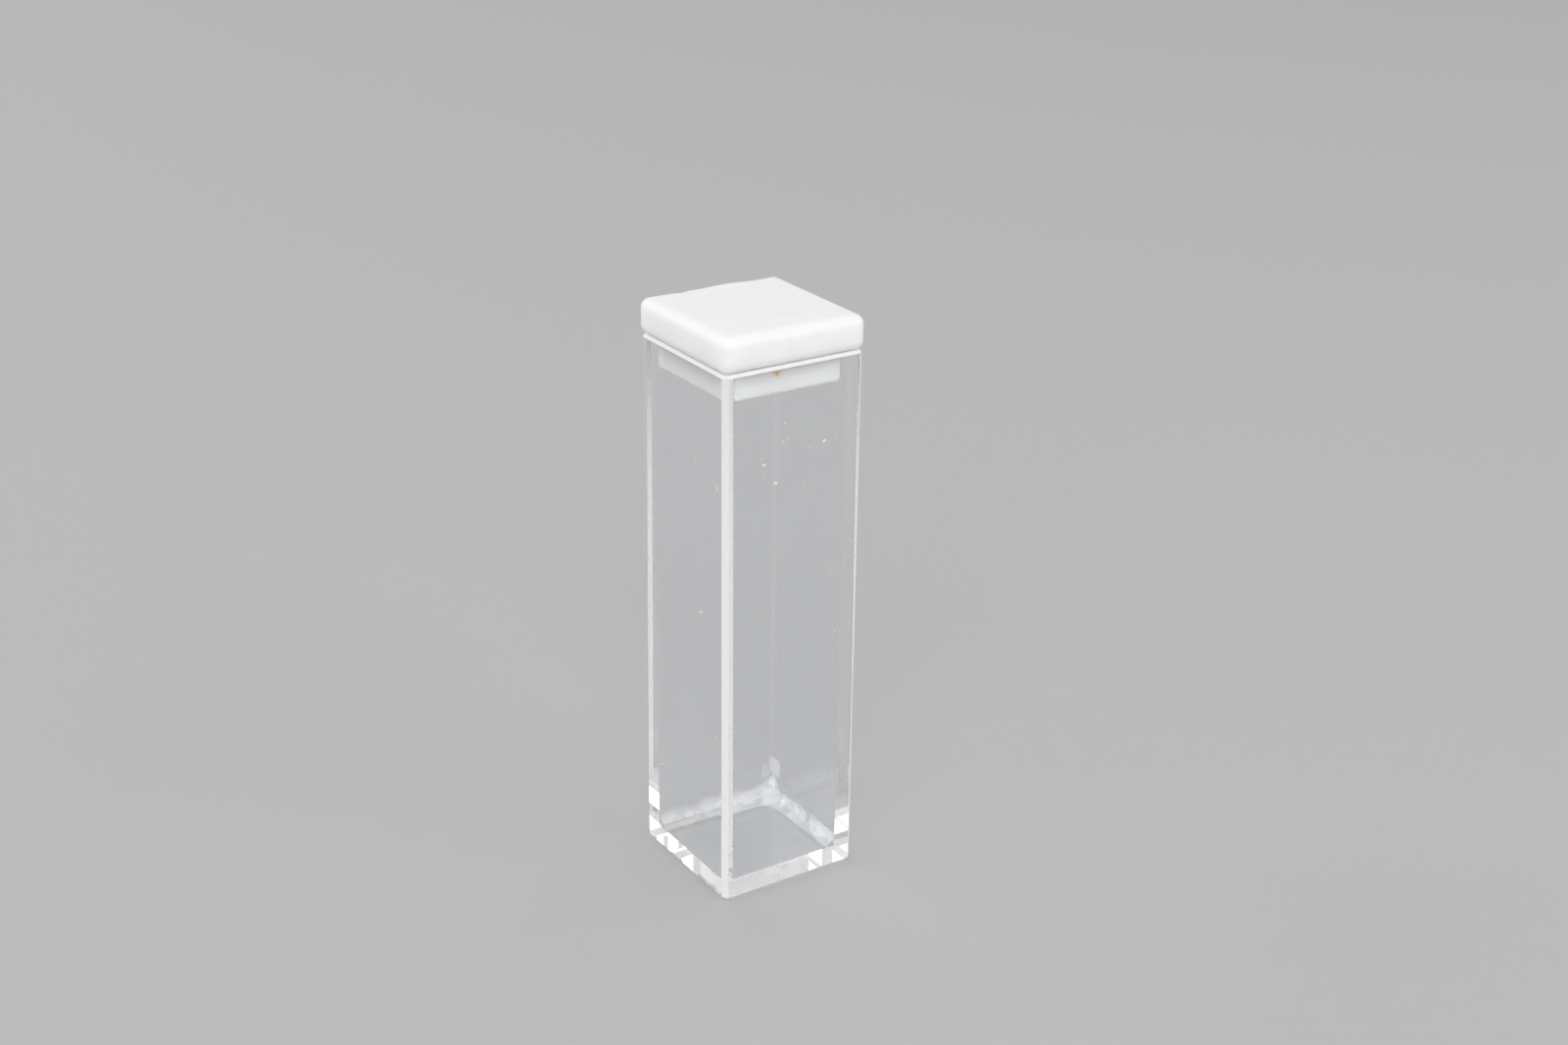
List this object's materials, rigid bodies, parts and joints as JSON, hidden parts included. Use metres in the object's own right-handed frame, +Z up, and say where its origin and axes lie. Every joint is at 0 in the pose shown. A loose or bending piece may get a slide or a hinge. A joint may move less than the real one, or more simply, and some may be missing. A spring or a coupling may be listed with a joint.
{
  "type": "cuvette",
  "caption": "Tall square cell of clear glass with ground edges and one open end, closed by a white square lid whose plug sits loosely in the mouth.",
  "frame": {"origin": "centre of the cell's foot, on the surface that it stands on", "axes": "+Z up along the cell towards the mouth and lid; +X and +Y square to the outside faces"},
  "size_m": [0.0128, 0.0128, 0.0479],
  "materials": {
    "clear_glass": "polished windows, ground rim and bevels",
    "white_polymer": "satin, waxy fluoropolymer"
  },
  "bodies": {
    "cell": {"glass_cell": "clear_glass"},
    "lid": {"lid": "white_polymer"}
  },
  "joints": [
    {"name": "lid_lift", "type": "slide", "parent": "cell", "child": "lid", "axis": [0, 0, 1], "range_m": [0, 0.015]}
  ]
}
